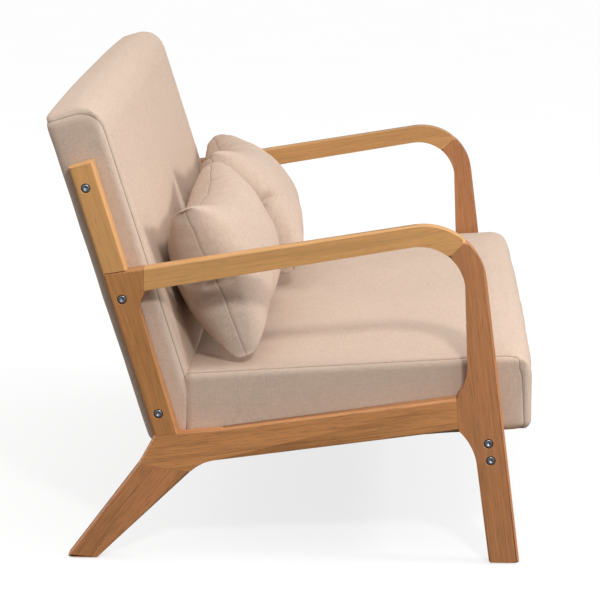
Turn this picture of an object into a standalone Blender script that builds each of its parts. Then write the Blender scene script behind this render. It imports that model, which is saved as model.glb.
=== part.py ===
"""Two-seat sofa with curved timber side frames, an upholstered seat and back, and two loose pillows.

Frame: the sitter faces -Y, +X is the sitter's left, +Z is up and the floor is Z = 0.
Side views are drawn as (y, z) outlines in metres and extruded along X.
"""
import math

import bmesh
import bpy
from mathutils import Matrix, Vector

# ---------------------------------------------------------------- driving dimensions (metres)
WIDTH = 1.265            # over the outer faces of the two side frames
TIMBER = 0.032           # thickness of a side frame
ROUNDOVER = 0.005        # radius along the timber edges
JOINT_GAP = 0.0003       # clearance between pieces that touch
MERGE_DISTANCE = 0.0001
ORIGIN_Y = 0.0043        # moves the origin to the middle of the overall depth

RECLINE = 0.30           # rearward run of the posts for each metre of height
POST_FRONT_Y = 0.125     # post edges, extended down to the floor
POST_REAR_Y = 0.1692
POST_TOP_Z = 0.691

ARM_SLOPE = 0.161        # the arm rises towards the front
ARM_TOP_Z = 0.559        # arm edges at y = 0
ARM_UNDER_Z = 0.5246
ARM_JOINT_Y = 0.2505
ARM_NOSE_RADIUS = 0.108
ARM_CROOK_RADIUS = 0.078

LEG_LEAN = 0.1282        # front edge of the front leg
LEG_FRONT_Y = -0.3985

GLIDE_HEIGHT = 0.002
GLIDE_RADIUS = 0.010
FRONT_GLIDE_Y = -0.3740
REAR_GLIDE_Y = 0.3660

FABRIC = 0.0015          # upholstery thickness
SIDE_CLEARANCE = 0.002   # between the upholstery and a side frame
CUSHION_HALF = WIDTH / 2 - TIMBER - SIDE_CLEARANCE

SEAT_FRONT_Y = -0.4145
SEAT_REAR_Y = 0.188
SEAT_HEIGHT = 0.133
SEAT_SLOPE = 0.0655
SEAT_UNDER_Z = 0.2066    # underside of the seat at y = 0

BACK_ANGLE = math.radians(17.17)
BACK_FOOT = (0.2493, 0.212)
BACK_LENGTH = 0.595
BACK_ARCH = 0.006
BACK_DEPTH = 0.096

PILLOW_LENGTH = 0.570
PILLOW_HEIGHT = 0.285

BOLT_HEAD_RADIUS = 0.007
BOLT_SHANK_RADIUS = 0.0038
BOLT_LENGTH = 0.055      # this and the depths below are measured from the timber's outer face
HEAD_SPAN = (0.0006, 0.0050)
SOCKET_RADIUS = 0.0032
SOCKET_BOTTOM = 0.0032
WASHER_RADIUS = 0.0078
WASHER_SPAN = (0.0053, 0.0066)
COUNTERBORE_DEPTH = 0.0070
# (y, z) of each bolt, from the top of the back down to the front leg
BOLTS = {
    "back_upper": (0.3476, 0.655),
    "back_middle": (0.2886, 0.463),
    "back_lower": (0.2285, 0.262),
    "front_upper": (-0.3408, 0.2154),
    "front_lower": (-0.3453, 0.1852),
}

SIDES = {"right": -1, "left": 1}

# ---------------------------------------------------------------- scene and materials


def clear_scene():
    for obj in list(bpy.data.objects):
        bpy.data.objects.remove(obj, do_unlink=True)


def material(name, color, roughness, metallic=0.0):
    mat = bpy.data.materials.new(name)
    mat.use_nodes = True
    shader = mat.node_tree.nodes["Principled BSDF"]
    shader.inputs["Base Color"].default_value = (*color, 1.0)
    shader.inputs["Roughness"].default_value = roughness
    shader.inputs["Metallic"].default_value = metallic
    return mat


FINISHES = {
    "oak": ((0.49, 0.24, 0.095), 0.45, 0.0),
    "linen": ((0.74, 0.56, 0.44), 0.95, 0.0),
    "steel": ((0.05, 0.06, 0.075), 0.35, 1.0),
    "zinc": ((0.45, 0.42, 0.38), 0.4, 1.0),
    "pine": ((0.62, 0.45, 0.26), 0.7, 0.0),
    "board": ((0.42, 0.28, 0.16), 0.8, 0.0),
    "webbing": ((0.10, 0.10, 0.11), 0.85, 0.0),
    "foam": ((0.85, 0.80, 0.62), 0.95, 0.0),
    "dust_cloth": ((0.06, 0.06, 0.06), 0.95, 0.0),
    "fibre": ((0.88, 0.87, 0.84), 0.95, 0.0),
    "nylon": ((0.12, 0.10, 0.09), 0.6, 0.0),
}


def finish_object(name, bm, finish, parent, smooth_angle=40):
    """Turn a bmesh into a named object with its own material."""
    bmesh.ops.recalc_face_normals(bm, faces=bm.faces)
    if bm.calc_volume(signed=True) < 0:
        bmesh.ops.reverse_faces(bm, faces=bm.faces)
    mesh = bpy.data.meshes.new(name)
    bm.to_mesh(mesh)
    bm.free()
    mesh.shade_smooth()
    mesh.set_sharp_from_angle(angle=math.radians(smooth_angle))
    mesh.materials.append(material(name, *FINISHES[finish]))
    obj = bpy.data.objects.new(name, mesh)
    bpy.context.scene.collection.objects.link(obj)
    obj.parent = parent
    return obj


def empty(name, location, parent=None):
    obj = bpy.data.objects.new(name, None)
    obj.location = location
    bpy.context.scene.collection.objects.link(obj)
    obj.parent = parent
    return obj


# ---------------------------------------------------------------- outlines in the side view


def post_front(z):
    return (POST_FRONT_Y + RECLINE * z, z)


def post_rear(z):
    return (POST_REAR_Y + RECLINE * z, z)


def arm_top(y):
    return (y, ARM_TOP_Z - ARM_SLOPE * y)


def arm_under(y):
    return (y, ARM_UNDER_Z - ARM_SLOPE * y)


def leg_front(z):
    return (LEG_FRONT_Y + LEG_LEAN * z, z)


def fillet(before, corner, after, radius, steps):
    """Points of the arc that rounds a corner, from the side of `before` to the side of `after`."""
    corner = Vector(corner)
    to_before = (Vector(before) - corner).normalized()
    to_after = (Vector(after) - corner).normalized()
    half = to_before.angle(to_after) / 2
    centre = corner + (to_before + to_after).normalized() * radius / math.sin(half)
    start = corner + to_before * radius / math.tan(half) - centre
    end = corner + to_after * radius / math.tan(half) - centre
    sweep = start.angle(end)
    turn = math.copysign(sweep, start.x * end.y - start.y * end.x)
    points = []
    for i in range(steps + 1):
        points.append(centre + Matrix.Rotation(turn * i / steps, 2) @ start)
    return [tuple(p) for p in points]


def outline(corners):
    """Closed outline from (y, z) corners; a corner written (y, z, radius, steps) is rounded."""
    points = []
    for i, corner in enumerate(corners):
        if len(corner) == 2:
            points.append(corner)
            continue
        y, z, radius, steps = corner
        before = corners[i - 1][:2]
        after = corners[(i + 1) % len(corners)][:2]
        points += fillet(before, (y, z), after, radius, steps)
    return points


def inset(points, distance):
    """Move every edge of a closed outline inwards by `distance`."""
    area = sum(a[0] * b[1] - b[0] * a[1] for a, b in zip(points, points[1:] + points[:1]))
    sign = math.copysign(1.0, area)
    result = []
    for i, point in enumerate(points):
        p = Vector(point)
        back = (p - Vector(points[i - 1])).normalized()
        ahead = (Vector(points[(i + 1) % len(points)]) - p).normalized()
        normal_a = Vector((-back.y, back.x)) * sign
        normal_b = Vector((-ahead.y, ahead.x)) * sign
        mitre = (normal_a + normal_b).normalized()
        result.append(tuple(p + mitre * distance / max(mitre.dot(normal_a), 0.3)))
    return result


def prism(points, x_low, x_high):
    """Extrude a (y, z) outline along X."""
    bm = bmesh.new()
    low = [bm.verts.new((x_low, y, z)) for y, z in points]
    high = [bm.verts.new((x_high, y, z)) for y, z in points]
    bm.faces.new(low)
    bm.faces.new(high)
    for i in range(len(points)):
        j = (i + 1) % len(points)
        bm.faces.new((low[i], low[j], high[j], high[i]))
    return bm


def on_segment(point, start, end, tolerance=0.0006):
    a, b, p = Vector(start), Vector(end), Vector(point)
    along = (b - a).normalized()
    t = (p - a).dot(along)
    return -tolerance < t < (b - a).length + tolerance and (p - a - along * t).length < tolerance


def timber(name, side, points, joints, parent):
    """A timber of a side frame: long edges rounded over, glued joint faces left square."""
    x_low = side * (WIDTH / 2 - TIMBER)
    x_high = side * WIDTH / 2
    bm = prism(inset(points, JOINT_GAP / 2), x_low, x_high)
    rounded = []
    for edge in bm.edges:
        a, b = edge.verts
        if abs(a.co.x - b.co.x) > TIMBER / 2:
            continue
        ends = [(v.co.y, v.co.z) for v in edge.verts]
        if any(all(on_segment(p, *joint) for p in ends) for joint in joints):
            continue
        rounded.append(edge)
    bmesh.ops.bevel(bm, geom=rounded, offset=ROUNDOVER, offset_type="OFFSET", segments=3,
                    profile=0.5, affect="EDGES", clamp_overlap=False)
    bmesh.ops.remove_doubles(bm, verts=bm.verts, dist=MERGE_DISTANCE)
    return finish_object(name, bm, "oak", parent)


# ---------------------------------------------------------------- side frames

FOOT_Z = GLIDE_HEIGHT + JOINT_GAP
ARM_POST_REAR = (0.3214, 0.5072)                 # where the post's edges meet the arm's top line
ARM_POST_FRONT = (0.2792, 0.5141)
ARM_JOINT_UNDER = (ARM_JOINT_Y, 0.4712)
CROOK_START = (0.2405, 0.4859)
CROOK_CORNER = (0.2615, 0.4551)
KNEE_REAR = (0.2358, 0.2235)
KNEE_FRONT = post_front(0.227)
HOCK_REAR = (0.2647, 0.1717)
HOCK_FRONT = (0.1739, 0.1592)
RAIL_JOINT_TOP = (-0.2850, 0.2950)
RAIL_JOINT_UNDER = (-0.2885, 0.2385)
NOSE_CORNER = (-0.3202, 0.6105)
NOSE_CROOK = (-0.2945, 0.5720)
LEG_WEB_TOP = (-0.3036, 0.3237)
LEG_WEB_UNDER = (-0.3164, 0.2124)


def nose_arcs():
    """Outer and inner arcs of the bend between front leg and arm, from leg to arm."""
    outer = fillet(leg_front(0.3), NOSE_CORNER, arm_top(0.0), ARM_NOSE_RADIUS, 13)
    inner = fillet(LEG_WEB_TOP, NOSE_CROOK, arm_under(0.0), ARM_CROOK_RADIUS, 12)
    return outer, inner


NOSE_SPLIT = 6           # the mitre sits at this step of both arcs


def front_leg_outline():
    outer, inner = nose_arcs()
    lower = outline([
        (*leg_front(FOOT_Z), 0.003, 2),
        (-0.3450, FOOT_Z, 0.003, 2),
        (*LEG_WEB_UNDER, 0.10, 6),
        RAIL_JOINT_UNDER,
        RAIL_JOINT_TOP,
        (*LEG_WEB_TOP, 0.085, 5),
        inner[0],
    ])
    return lower + inner[1:NOSE_SPLIT + 1] + outer[NOSE_SPLIT::-1]


def arm_rail_outline():
    outer, inner = nose_arcs()
    rear = [arm_top(ARM_JOINT_Y), ARM_JOINT_UNDER, CROOK_START]
    return outer[NOSE_SPLIT:] + rear + inner[:NOSE_SPLIT - 1:-1]


def rear_upright_outline():
    return outline([
        ARM_POST_REAR,
        KNEE_REAR,
        KNEE_FRONT,
        (*CROOK_CORNER, 0.030, 6),
        ARM_JOINT_UNDER,
        arm_top(ARM_JOINT_Y),
    ])


def upper_post_outline():
    top_rear = post_rear(POST_TOP_Z)
    top_front = post_front(POST_TOP_Z + 0.0125)
    return [ARM_POST_REAR, ARM_POST_FRONT, top_front, top_rear]


def side_rail_outline():
    return outline([
        KNEE_REAR,
        HOCK_REAR,
        HOCK_FRONT,
        (0.1546, 0.1773, 0.075, 6),
        RAIL_JOINT_UNDER,
        RAIL_JOINT_TOP,
        (0.130, 0.2325, 0.40, 4),
        KNEE_FRONT,
    ])


def rear_leg_outline():
    return outline([
        HOCK_REAR,
        (0.3930, FOOT_Z, 0.003, 2),
        (0.3385, FOOT_Z, 0.003, 2),
        HOCK_FRONT,
    ])


def glide(name, side, y, parent):
    """Nylon disc under a foot."""
    bm = bmesh.new()
    bmesh.ops.create_cone(bm, cap_ends=True, segments=16, radius1=GLIDE_RADIUS * 0.9,
                          radius2=GLIDE_RADIUS, depth=GLIDE_HEIGHT)
    place = Matrix.Translation((side * (WIDTH - TIMBER) / 2, y, GLIDE_HEIGHT / 2))
    bmesh.ops.transform(bm, matrix=place, verts=bm.verts)
    finish_object(name, bm, "nylon", parent)


def build_side_frame(side_name, parent):
    """Six glued timbers and two glides; returns the timbers that bolts pass through."""
    side = SIDES[side_name]
    outer, inner = nose_arcs()
    mitre = (outer[NOSE_SPLIT], inner[NOSE_SPLIT])
    arm_joint = (arm_top(ARM_JOINT_Y), ARM_JOINT_UNDER)
    post_joint = (ARM_POST_REAR, ARM_POST_FRONT)
    knee_joint = (KNEE_REAR, KNEE_FRONT)
    hock_joint = (HOCK_REAR, HOCK_FRONT)
    rail_joint = (RAIL_JOINT_TOP, RAIL_JOINT_UNDER)
    pieces = {
        "front_leg": (front_leg_outline(), [mitre, rail_joint]),
        "arm_rail": (arm_rail_outline(), [mitre, arm_joint]),
        "rear_upright": (rear_upright_outline(), [arm_joint, knee_joint]),
        "upper_post": (upper_post_outline(), [post_joint]),
        "side_rail": (side_rail_outline(), [knee_joint, hock_joint, rail_joint]),
        "rear_leg": (rear_leg_outline(), [hock_joint]),
    }
    made = {}
    for name, (points, joints) in pieces.items():
        made[name] = timber(f"{side_name}_{name}", side, points, joints, parent)
    glide(f"{side_name}_front_glide", side, FRONT_GLIDE_Y, parent)
    glide(f"{side_name}_rear_glide", side, REAR_GLIDE_Y, parent)
    return made


# ---------------------------------------------------------------- turned hardware along X


def turned(profile, segments=12):
    """Stack rings along X from (x, radius, hexagonal) steps and close both ends."""
    bm = bmesh.new()
    rings = []
    for x, radius, hexagonal in profile:
        ring = []
        for i in range(segments):
            angle = 2 * math.pi * i / segments
            r = radius
            if hexagonal:
                r *= math.cos(math.pi / 6) / math.cos((angle % (math.pi / 3)) - math.pi / 6)
            ring.append(bm.verts.new((x, r * math.cos(angle), r * math.sin(angle))))
        rings.append(ring)
    for a, b in zip(rings, rings[1:]):
        for i in range(segments):
            j = (i + 1) % segments
            bm.faces.new((a[i], a[j], b[j], b[i]))
    bm.faces.new(rings[0])
    bm.faces.new(rings[-1])
    return bm


def place_turned(bm, side, y, z):
    """Profiles are drawn from the outer face inwards; put them on their side of the sofa."""
    bmesh.ops.transform(bm, matrix=Matrix.Diagonal((-side, 1, 1, 1)), verts=bm.verts)
    bmesh.ops.translate(bm, vec=(side * WIDTH / 2, y, z), verts=bm.verts)
    return bm


def bolt(name, side, y, z, parent):
    """Socket-head bolt: the head lies in its counterbore, just under the timber's face."""
    top, base = HEAD_SPAN
    chamfer = 0.0009
    profile = [
        (SOCKET_BOTTOM, SOCKET_RADIUS, True),
        (top, SOCKET_RADIUS, True),
        (top, BOLT_HEAD_RADIUS - chamfer, False),
        (top + chamfer, BOLT_HEAD_RADIUS, False),
        (base, BOLT_HEAD_RADIUS, False),
        (base, BOLT_SHANK_RADIUS, False),
        (BOLT_LENGTH, BOLT_SHANK_RADIUS, False),
    ]
    bm = place_turned(turned(profile), side, y, z)
    finish_object(name, bm, "steel", parent)


def washer(name, side, y, z, parent):
    """Flat washer under a bolt's head."""
    top, base = WASHER_SPAN
    bore = BOLT_SHANK_RADIUS + 0.0004
    segments = 16
    bm = bmesh.new()
    rings = []
    for x, radius in ((top, bore), (top, WASHER_RADIUS), (base, WASHER_RADIUS), (base, bore)):
        angles = [2 * math.pi * i / segments for i in range(segments)]
        rings.append([bm.verts.new((x, radius * math.cos(a), radius * math.sin(a))) for a in angles])
    for a, b in zip(rings, rings[1:] + rings[:1]):
        for i in range(segments):
            j = (i + 1) % segments
            bm.faces.new((a[i], a[j], b[j], b[i]))
    finish_object(name, place_turned(bm, side, y, z), "zinc", parent)


def bolt_cutter(name, side, y, z, parent):
    """The counterbore and clearance hole for a bolt."""
    counterbore = WASHER_RADIUS + 0.0005
    bore = BOLT_SHANK_RADIUS + 0.0005
    profile = [
        (-0.004, counterbore, False),
        (COUNTERBORE_DEPTH, counterbore, False),
        (COUNTERBORE_DEPTH, bore, False),
        (BOLT_LENGTH + 0.002, bore, False),
    ]
    obj = finish_object(name, place_turned(turned(profile, 16), side, y, z), "steel", parent)
    obj.hide_render = True
    obj.display_type = "WIRE"
    return obj


def drill(obj, cutter):
    cut = obj.modifiers.new(cutter.name, "BOOLEAN")
    cut.operation = "DIFFERENCE"
    cut.solver = "EXACT"
    cut.object = cutter


# ---------------------------------------------------------------- upholstered blocks


def rounded_loop(half_x, low, high, low_radius, high_radius, arch=0.0):
    """A rounded rectangle of (x, v) points; the high edge may arch up in its middle."""
    corner_steps = 4
    points = [(half_x * t, low) for t in (-0.5, 0.0, 0.5)]

    def corner(cx, cv, radius, start):
        for i in range(corner_steps + 1):
            angle = math.radians(start + 90 * i / corner_steps)
            points.append((cx + radius * math.cos(angle), cv + radius * math.sin(angle)))

    corner(half_x - low_radius, low + low_radius, low_radius, -90)
    for t in (0.25, 0.5, 0.75):
        points.append((half_x, low + (high - low) * t))
    corner(half_x - high_radius, high - high_radius, high_radius, 0)
    span = half_x - high_radius
    for t in (0.75, 0.5, 0.25, 0.0, -0.25, -0.5, -0.75):
        points.append((span * t, high))
    corner(-half_x + high_radius, high - high_radius, high_radius, 90)
    for t in (0.75, 0.5, 0.25):
        points.append((-half_x, low + (high - low) * t))
    corner(-half_x + low_radius, low + low_radius, low_radius, 180)
    lifted = []
    for x, v in points:
        share = max(0.0, (v - low) / (high - low)) ** 4
        lifted.append((x, v + arch * share * (1 - abs(x / half_x) ** 3)))
    return lifted


def stacked(loops, place):
    """Skin a stack of loops of (x, v) points, each at its own height, with both ends closed."""
    bm = bmesh.new()
    rings = [[bm.verts.new(place(x, v, height)) for x, v in points] for points, height in loops]
    count = len(rings[0])
    for a, b in zip(rings, rings[1:]):
        for i in range(count):
            j = (i + 1) % count
            bm.faces.new((a[i], a[j], b[j], b[i]))
    bm.faces.new(rings[0])
    bm.faces.new(rings[-1])
    return bm


def thinner(profile, distance):
    """Offset an (inset, height) profile, drawn from rim to middle, into the block."""
    result = []
    last = len(profile) - 1
    for i, (d, h) in enumerate(profile):
        if i == 0:
            result.append((d + distance, h))
            continue
        if i == last:
            result.append((d + distance, h - distance))
            continue
        back = Vector((d - profile[i - 1][0], h - profile[i - 1][1])).normalized()
        ahead = Vector((profile[i + 1][0] - d, profile[i + 1][1] - h)).normalized()
        normal_a = Vector((back.y, -back.x))
        normal_b = Vector((ahead.y, -ahead.x))
        mitre = (normal_a + normal_b).normalized() * distance
        mitre /= max((normal_a + normal_b).normalized().dot(normal_a), 0.5)
        result.append((d + mitre.x, h + mitre.y))
    return result


SEAT_PROFILE = [
    (0.012, 0.0), (0.003, 0.006), (0.0, 0.016), (0.0, SEAT_HEIGHT - 0.014),
    (0.004, SEAT_HEIGHT - 0.004), (0.014, SEAT_HEIGHT), (0.055, SEAT_HEIGHT + 0.006),
    (0.120, SEAT_HEIGHT + 0.010), (0.210, SEAT_HEIGHT + 0.012),
]

BACK_PROFILE = [
    (0.012, 0.0), (0.003, 0.004), (0.0, 0.014), (0.0, 0.063), (0.001, 0.070), (0.008, 0.084),
    (0.024, 0.092), (0.060, BACK_DEPTH), (0.130, BACK_DEPTH + 0.005), (0.200, BACK_DEPTH + 0.007),
]


def seat_point(x, y, h):
    return (x, y, SEAT_UNDER_Z - SEAT_SLOPE * y + h)


def back_point(x, v, w):
    sin, cos = math.sin(BACK_ANGLE), math.cos(BACK_ANGLE)
    return (x, BACK_FOOT[0] + v * sin - w * cos, BACK_FOOT[1] + v * cos + w * sin)


def seat_loops(profile):
    loops = []
    for d, h in profile:
        radius = max(0.016 - d, 0.003)
        loop = rounded_loop(CUSHION_HALF - d, SEAT_FRONT_Y + d, SEAT_REAR_Y - d, radius, radius)
        loops.append((loop, h))
    return loops


def back_low_edge(w, margin=0.0005):
    """Lowest v of the back at depth w, where the seat's rear face cuts it off."""
    sin, cos = math.sin(BACK_ANGLE), math.cos(BACK_ANGLE)
    return max(0.0, (SEAT_REAR_Y + margin - BACK_FOOT[0] + w * cos) / sin)


def back_loops(profile):
    loops = []
    for d, w in profile:
        top_radius = max(0.024 - d, 0.004)
        low_radius = max(0.012 - d, 0.003)
        low = back_low_edge(w) + d
        loop = rounded_loop(CUSHION_HALF - d, low, BACK_LENGTH - d, low_radius, top_radius, BACK_ARCH)
        loops.append((loop, w))
    return loops


def seat_bar(name, x_low, x_high, y_low, y_high, h_low, h_high, finish, parent):
    """A straight bar that follows the seat's slope."""
    corners = [(y_low, h_low), (y_high, h_low), (y_high, h_high), (y_low, h_high)]
    points = [seat_point(0, y, h)[1:] for y, h in corners]
    return finish_object(name, prism(points, x_low, x_high), finish, parent)


def back_bar(name, x_low, x_high, v_low, v_high, w_low, w_high, finish, parent):
    """A straight bar that follows the back's recline."""
    corners = [(v_low, w_low), (v_high, w_low), (v_high, w_high), (v_low, w_high)]
    points = [back_point(0, v, w)[1:] for v, w in corners]
    return finish_object(name, prism(points, x_low, x_high), finish, parent)


def build_seat(parent):
    inner = thinner(SEAT_PROFILE, FABRIC)
    cover = stacked(seat_loops(inner[::-1] + SEAT_PROFILE), seat_point)
    finish_object("seat_cover", cover, "linen", parent)

    foam_base = 0.0455
    foam_rise = [(d, h) for d, h in thinner(SEAT_PROFILE, FABRIC + 0.0006) if h > foam_base]
    foam = stacked(seat_loops([(foam_rise[0][0], foam_base)] + foam_rise), seat_point)
    finish_object("seat_foam", foam, "foam", parent)

    edge = 0.0145                                # frame set in from the outside of the cover
    bar = 0.030
    low, high = 0.003, 0.043
    half = CUSHION_HALF - edge
    front, rear = SEAT_FRONT_Y + edge, SEAT_REAR_Y - edge
    seat_bar("seat_dust_cover", -half, half, front, rear, 0.0008, 0.0024, "dust_cloth", parent)
    seat_bar("seat_frame_front", -half, half, front, front + bar, low, high, "pine", parent)
    seat_bar("seat_frame_rear", -half, half, rear - bar, rear, low, high, "pine", parent)
    y_low, y_high = front + bar + JOINT_GAP, rear - bar - JOINT_GAP
    seat_bar("seat_frame_right", -half, -half + bar, y_low, y_high, low, high, "pine", parent)
    seat_bar("seat_frame_left", half - bar, half, y_low, y_high, low, high, "pine", parent)
    strap = 0.070
    for i in range(3):
        x = (i - 1) * 0.29
        name = f"seat_webbing_{i + 1}"
        seat_bar(name, x - strap / 2, x + strap / 2, front + 0.004, rear - 0.004, high + JOINT_GAP,
                 high + 0.0018, "webbing", parent)


def build_back(parent):
    """Upholstered back; returns the cover and the stiles, which the bolts pass through."""
    inner = thinner(BACK_PROFILE, FABRIC)
    cover = stacked(back_loops(inner[::-1] + BACK_PROFILE), back_point)
    cover = finish_object("back_cover", cover, "linen", parent)

    foam_base = 0.0562
    foam_rise = [(d, w) for d, w in thinner(BACK_PROFILE, FABRIC + 0.0006) if w > foam_base]
    foam = stacked(back_loops([(foam_rise[0][0], foam_base)] + foam_rise), back_point)
    finish_object("back_foam", foam, "foam", parent)

    panel_edge = 0.0145
    panel = stacked(back_loops([(panel_edge, 0.0008), (panel_edge, 0.0030)]), back_point)
    finish_object("back_outer_panel", panel, "linen", parent)

    half = CUSHION_HALF - FABRIC - 0.0006
    stile = 0.030
    rear, front = 0.020, 0.052
    low, high = 0.014, 0.524
    stiles = {}
    for side_name, side in SIDES.items():
        x_ends = sorted((side * half, side * (half - stile)))
        name = f"back_frame_{side_name}_stile"
        stiles[side_name] = back_bar(name, *x_ends, low, high, rear, front, "pine", parent)
    span = half - stile - JOINT_GAP
    back_bar("back_frame_top_rail", -span, span, high - 0.045, high, rear, front, "pine", parent)
    back_bar("back_frame_bottom_rail", -span, span, low, low + 0.045, rear, front, "pine", parent)
    back_bar("back_board", -half + 0.004, half - 0.004, low + 0.004, high - 0.020,
             front + JOINT_GAP, front + 0.0035, "board", parent)
    return cover, stiles


def build_front_stretcher(parent):
    """Timber between the front legs that carries the front of the seat."""
    half = WIDTH / 2 - TIMBER - JOINT_GAP
    lean = 0.15
    low, high = 0.166, 0.2275
    centre_y, depth = -0.3435, 0.032
    points = []
    for z, shift in ((low, -1), (low, 1), (high, 1), (high, -1)):
        points.append((centre_y + lean * (z - 0.2) + shift * depth / 2, z))
    bm = prism(points, -half, half)
    long_edges = [e for e in bm.edges if abs(e.verts[0].co.x - e.verts[1].co.x) > half]
    bmesh.ops.bevel(bm, geom=long_edges, offset=0.003, segments=2, profile=0.5, affect="EDGES")
    return finish_object("front_stretcher", bm, "oak", parent)


# ---------------------------------------------------------------- pillows


def pillow_sheet_height(u, v):
    return (max(0.0, 1 - u ** 4) * max(0.0, 1 - v * v)) ** 0.6


def pillow_mesh(length, height, front_bulge, rear_bulge):
    """A lens with straight seams: two bulged sheets joined along their edge, lying in X and Z."""
    columns, rows = 18, 10
    bm = bmesh.new()
    grids = []
    rim = {}
    for bulge in (-front_bulge, rear_bulge):
        grid = []
        for j in range(rows + 1):
            v = -math.cos(math.pi * j / rows)
            line = []
            for i in range(columns + 1):
                u = -math.cos(math.pi * i / columns)
                on_rim = i in (0, columns) or j in (0, rows)
                if on_rim and (i, j) in rim:
                    line.append(rim[(i, j)])
                    continue
                x = length / 2 * u * (1 - 0.035 * (1 - v * v))
                z = height / 2 * v * (1 - 0.060 * (1 - u * u))
                y = 0.0 if on_rim else bulge * pillow_sheet_height(u, v)
                vert = bm.verts.new((x, y, z))
                if on_rim:
                    rim[(i, j)] = vert
                line.append(vert)
            grid.append(line)
        grids.append(grid)
    for grid in grids:
        for j in range(rows):
            for i in range(columns):
                corners = (grid[j][i], grid[j][i + 1], grid[j + 1][i + 1], grid[j + 1][i])
                bm.faces.new(corners)
    return bm


def build_pillow(name, place, lean, roll, yaw, parent):
    """Cover with a zip slit along its lower seam, and the stuffed insert inside it."""
    body = empty(f"{name}_body", place, parent)
    body.rotation_euler = (-math.radians(lean), math.radians(roll), math.radians(yaw))
    cover = finish_object(f"{name}_cover", pillow_mesh(PILLOW_LENGTH, PILLOW_HEIGHT, 0.085, 0.070),
                          "linen", body, 60)
    cavity = finish_object(f"cutter_{name}_cavity",
                           pillow_mesh(PILLOW_LENGTH - 0.016, PILLOW_HEIGHT - 0.016, 0.083, 0.068),
                           "fibre", body, 60)
    slit = bmesh.new()
    bmesh.ops.create_cube(slit, size=1.0)
    slit_size = Matrix.Diagonal((0.36, 0.0016, 0.050, 1))
    slit_place = Matrix.Translation((0, 0, -PILLOW_HEIGHT / 2 + 0.010))
    bmesh.ops.transform(slit, matrix=slit_place @ slit_size, verts=slit.verts)
    slit = finish_object(f"cutter_{name}_slit", slit, "fibre", body)
    for cutter in (cavity, slit):
        cutter.hide_render = True
        cutter.display_type = "WIRE"
        drill(cover, cutter)
    insert = pillow_mesh(PILLOW_LENGTH - 0.024, PILLOW_HEIGHT - 0.024, 0.0815, 0.0665)
    finish_object(f"{name}_insert", insert, "fibre", body, 60)


# ---------------------------------------------------------------- assembly


def build():
    clear_scene()
    sofa = empty("sofa", (0, -ORIGIN_Y, 0))
    frames = {side_name: build_side_frame(side_name, sofa) for side_name in SIDES}
    stretcher = build_front_stretcher(sofa)
    build_seat(sofa)
    back_cover, stiles = build_back(sofa)

    for side_name, side in SIDES.items():
        holders = {
            "back_upper": (frames[side_name]["upper_post"], back_cover, stiles[side_name]),
            "back_middle": (frames[side_name]["rear_upright"], back_cover, stiles[side_name]),
            "back_lower": (frames[side_name]["rear_upright"], back_cover, stiles[side_name]),
            "front_upper": (frames[side_name]["front_leg"], stretcher),
            "front_lower": (frames[side_name]["front_leg"], stretcher),
        }
        for place, (y, z) in BOLTS.items():
            bolt(f"{side_name}_{place}_bolt", side, y, z, sofa)
            washer(f"{side_name}_{place}_washer", side, y, z, sofa)
            cutter = bolt_cutter(f"cutter_{side_name}_{place}", side, y, z, sofa)
            for holder in holders[place]:
                drill(holder, cutter)

    build_pillow("right_pillow", (-0.290, 0.136, 0.4835), 22.0, 0.0, 0.0, sofa)
    build_pillow("left_pillow", (0.296, 0.1305, 0.4945), 36.0, 5.6, 3.1, sofa)


build()
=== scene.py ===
"""The sofa's looks: grained timber, sewn linen upholstery, stuffed pillows, studio floor, light, camera."""
import math

import bmesh
import bpy
import numpy as np
from mathutils import Matrix, Vector, noise


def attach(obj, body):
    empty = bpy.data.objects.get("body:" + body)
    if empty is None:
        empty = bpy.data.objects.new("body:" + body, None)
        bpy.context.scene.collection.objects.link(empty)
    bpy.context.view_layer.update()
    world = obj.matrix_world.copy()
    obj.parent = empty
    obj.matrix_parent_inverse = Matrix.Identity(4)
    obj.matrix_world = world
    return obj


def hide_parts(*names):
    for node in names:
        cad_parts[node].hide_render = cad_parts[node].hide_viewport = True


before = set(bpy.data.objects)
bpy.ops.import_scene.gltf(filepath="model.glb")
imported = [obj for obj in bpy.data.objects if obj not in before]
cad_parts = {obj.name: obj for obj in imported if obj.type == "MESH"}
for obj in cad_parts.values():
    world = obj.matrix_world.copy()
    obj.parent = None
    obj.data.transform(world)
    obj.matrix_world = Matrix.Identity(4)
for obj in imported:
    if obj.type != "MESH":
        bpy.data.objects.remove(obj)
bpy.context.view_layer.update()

# ---------------- sizes, in metres
# They are the CAD model's, but for the back's length and skew and the pillows' thickness and places.
ORIGIN_Y = 0.0043
PLACE = Matrix.Translation((0, -ORIGIN_Y, 0))
WIDTH = 1.265
TIMBER = 0.032
ROUNDOVER = 0.005
JOINT_GAP = 0.0003
MERGE_DISTANCE = 0.0001  # rounding the edges can leave vertices closer than this
SIDES = {"right": -1, "left": 1}

RECLINE = 0.30
POST_FRONT_Y = 0.125
POST_REAR_Y = 0.1692
POST_TOP_Z = 0.691
ARM_SLOPE = 0.161
ARM_TOP_Z = 0.559
ARM_UNDER_Z = 0.5246
ARM_JOINT_Y = 0.2505
ARM_NOSE_RADIUS = 0.108
ARM_CROOK_RADIUS = 0.078
LEG_LEAN = 0.1282
LEG_FRONT_Y = -0.3985
FOOT_Z = 0.0023

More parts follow.
